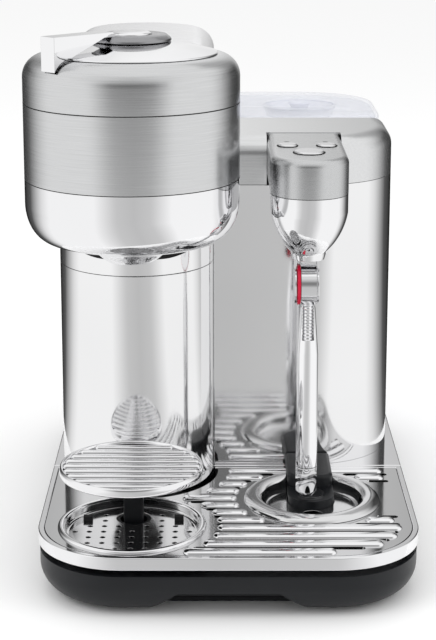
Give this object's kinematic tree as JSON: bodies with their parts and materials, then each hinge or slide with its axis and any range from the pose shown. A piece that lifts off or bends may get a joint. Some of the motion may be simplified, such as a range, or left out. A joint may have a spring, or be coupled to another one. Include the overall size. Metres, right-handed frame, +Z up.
{
  "type": "pod coffee machine",
  "caption": "Pod coffee machine with a round brewing head on a column, a milk steam wand, a drip tray, a cup stand and a rear water tank.",
  "frame": {"origin": "on the table, at the centre of the machine's outline", "axes": "+Z up, front faces -Y, +X towards the steam wand side"},
  "size_m": [0.256, 0.4, 0.3575],
  "materials": {
    "polished_steel": "mirror-polished stainless steel",
    "brushed_steel": "brushed stainless steel",
    "buttons": "satin metal",
    "black_plastic": "fine-grained black plastic",
    "black_rubber": "soft black rubber",
    "red_ring": "red gloss ring",
    "clear_tank": "clear moulded plastic",
    "inner_metal": "cast aluminium",
    "pins": "plain steel",
    "inner_plastic": "plain plastic",
    "board": "green circuit board"
  },
  "bodies": {
    "lid": {"lid_shell": "brushed_steel", "lid_crown": "polished_steel", "pierce_plate": "inner_metal", "pierce_carrier": "inner_plastic"},
    "lever_unit": {"lever": "polished_steel", "lever_hub": "brushed_steel"},
    "brew_button": {"brew_button": "buttons"},
    "capsule_spinner": {"capsule_holder": "inner_metal"},
    "steam_button": {"steam_button": "buttons"},
    "temperature_button": {"temperature_button": "buttons"},
    "froth_button": {"froth_button": "buttons"},
    "wand": {"wand_knuckle": "polished_steel", "wand_collar": "red_ring", "wand_tube": "polished_steel", "wand_tip": "polished_steel"},
    "tray": {"tray_band": "polished_steel", "tray_skirt": "black_plastic", "drip_pan": "black_plastic", "tray_grille": "polished_steel", "cup_dish": "polished_steel", "dish_stops": "black_rubber", "jug_dish": "polished_steel", "stand_socket": "black_plastic"},
    "stand": {"cup_stand": "polished_steel", "stand_post": "black_plastic"},
    "bin": {"capsule_bin": "polished_steel", "bin_cover": "polished_steel"},
    "tank": {"water_tank": "clear_tank", "tank_valve": "inner_plastic"},
    "tank_lid": {"tank_lid": "clear_tank"},
    "chassis": {"base_plate": "black_plastic", "base_screws": "pins", "base_skirt": "black_plastic", "bin_bay": "black_plastic", "body_shell": "polished_steel", "brew_chamber": "black_plastic", "brew_heater": "inner_metal", "column_shell": "polished_steel", "control_board": "board", "cord_gland": "black_plastic", "head_band": "brushed_steel", "head_bowl": "polished_steel", "hinge_bracket": "inner_metal", "hinge_pin": "pins", "holder_bearing": "pins", "neck_shell": "polished_steel", "neck_top": "brushed_steel", "rear_plinth": "polished_steel", "rubber_feet": "black_rubber", "sensor_pad": "polished_steel", "sensor_tongue": "black_plastic", "spin_motor": "inner_metal", "spout": "polished_steel", "steam_boiler": "inner_metal", "steam_bowl": "polished_steel", "steam_cap": "brushed_steel", "top_cover": "brushed_steel", "wand_ears": "polished_steel", "wand_pin": "polished_steel", "water_pump": "inner_plastic"}
  },
  "joints": [
    {"name": "lid_open", "type": "hinge", "parent": "chassis", "child": "lid", "pos_m": [-0.056, -0.021, 0.3163], "axis": [-1, 0, 0], "range_deg": [0, 55]},
    {"name": "lever_turn", "type": "hinge", "parent": "lid", "child": "lever_unit", "pos_m": [-0.056, -0.095, 0.35], "axis": [0, 0, 1], "range_deg": [0, 85]},
    {"name": "brew_press", "type": "slide", "parent": "lever_unit", "child": "brew_button", "axis": [0, 0, -1], "range_m": [0, 0.0015], "stiffness_N_per_m": 300},
    {"name": "capsule_spin", "type": "hinge", "parent": "chassis", "child": "capsule_spinner", "pos_m": [-0.056, -0.095, 0.23], "axis": [0, 0, 1], "continuous": true},
    {"name": "steam_press", "type": "slide", "parent": "chassis", "child": "steam_button", "axis": [0, 0, -1], "range_m": [0, 0.0012], "stiffness_N_per_m": 300},
    {"name": "temperature_press", "type": "slide", "parent": "chassis", "child": "temperature_button", "axis": [0, 0, -1], "range_m": [0, 0.0012], "stiffness_N_per_m": 300},
    {"name": "froth_press", "type": "slide", "parent": "chassis", "child": "froth_button", "axis": [0, 0, -1], "range_m": [0, 0.0012], "stiffness_N_per_m": 300},
    {"name": "wand_lift", "type": "hinge", "parent": "chassis", "child": "wand", "pos_m": [0.059, -0.1, 0.1905], "axis": [-1, 0, 0], "range_deg": [0, 45]},
    {"name": "tray_pull", "type": "slide", "parent": "chassis", "child": "tray", "axis": [0, -1, 0], "range_m": [0, 0.15]},
    {"name": "stand_lift", "type": "slide", "parent": "tray", "child": "stand", "axis": [0, 0, 1], "range_m": [0, 0.08]},
    {"name": "bin_lift", "type": "slide", "parent": "chassis", "child": "bin", "axis": [0, 0, 1], "range_m": [0, 0.13]},
    {"name": "tank_lift", "type": "slide", "parent": "chassis", "child": "tank", "axis": [0, 0, 1], "range_m": [0, 0.12]},
    {"name": "tank_lid_lift", "type": "slide", "parent": "tank", "child": "tank_lid", "axis": [0, 0, 1], "range_m": [0, 0.04]}
  ]
}
